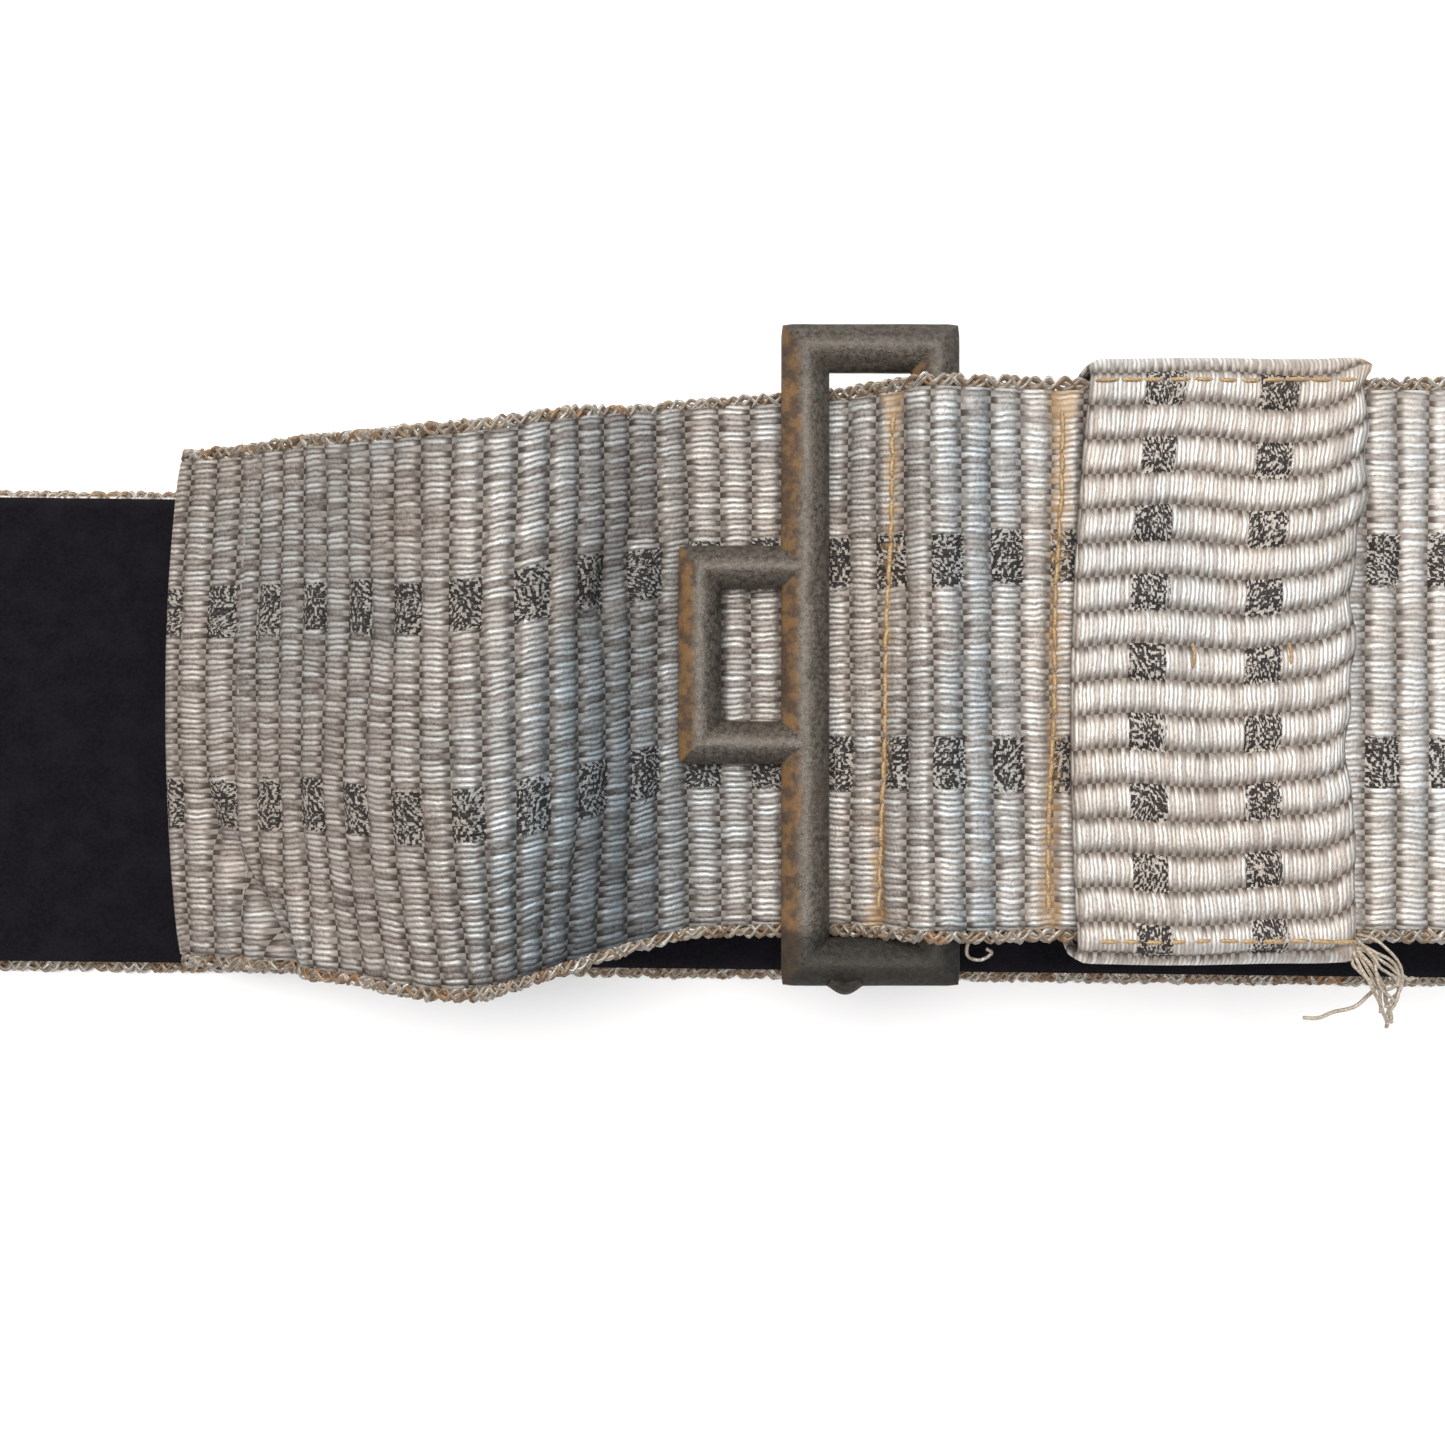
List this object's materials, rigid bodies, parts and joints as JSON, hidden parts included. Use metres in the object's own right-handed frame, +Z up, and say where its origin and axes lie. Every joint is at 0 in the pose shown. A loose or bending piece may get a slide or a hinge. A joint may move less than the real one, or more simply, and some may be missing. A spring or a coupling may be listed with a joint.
{
  "type": "dress belt",
  "caption": "Ribbed silver brocade dress belt, lined in black, with a cast catch, a matching hook and a sliding keeper, laid folded in two.",
  "frame": {"origin": "on the surface that the belt lies on, under the middle of its bounding box", "axes": "+X along the strap from the hook end to the fold, +Y across the strap, +Z up"},
  "size_m": [0.5428, 0.0584, 0.0392],
  "materials": {
    "silver_brocade": "ribbed metallic brocade, semi-gloss",
    "edge_cord": "twisted metallic thread",
    "gold_thread": "glossy sewing thread",
    "black_lining": "matt felted cloth",
    "stiff_canvas": "matt sized canvas",
    "cast_metal": "worn, dull plating with rust on its edges"
  },
  "bodies": {
    "belt": {"strap_facing": "silver_brocade", "strap_stiffener": "stiff_canvas", "strap_lining": "black_lining", "upper_edge_cord": "edge_cord", "lower_edge_cord": "edge_cord", "tongue_hem_stitches": "gold_thread", "catch_inner_stitches": "gold_thread", "catch_outer_stitches": "gold_thread", "hook_inner_stitches": "gold_thread", "hook_outer_stitches": "gold_thread"},
    "keeper": {"keeper_band": "silver_brocade", "keeper_lining": "black_lining", "keeper_upper_stitches": "gold_thread", "keeper_lower_stitches": "gold_thread", "frayed_threads": "edge_cord"},
    "catch": {"catch_frame": "cast_metal"},
    "hook": {"hook_frame": "cast_metal"}
  },
  "joints": [
    {"name": "catch_hinge", "type": "hinge", "parent": "belt", "child": "catch", "pos_m": [0.07315, 0.00222, 0.01775], "axis": [0, 1, 0], "range_deg": [0, 110]},
    {"name": "hook_hinge", "type": "hinge", "parent": "belt", "child": "hook", "pos_m": [-0.25021, -0.00118, 0.00325], "axis": [0, 1, 0], "range_deg": [0, 140]},
    {"name": "keeper_slide", "type": "slide", "parent": "belt", "child": "keeper", "axis": [1, 0, 0], "range_m": [0, 0.09]}
  ]
}
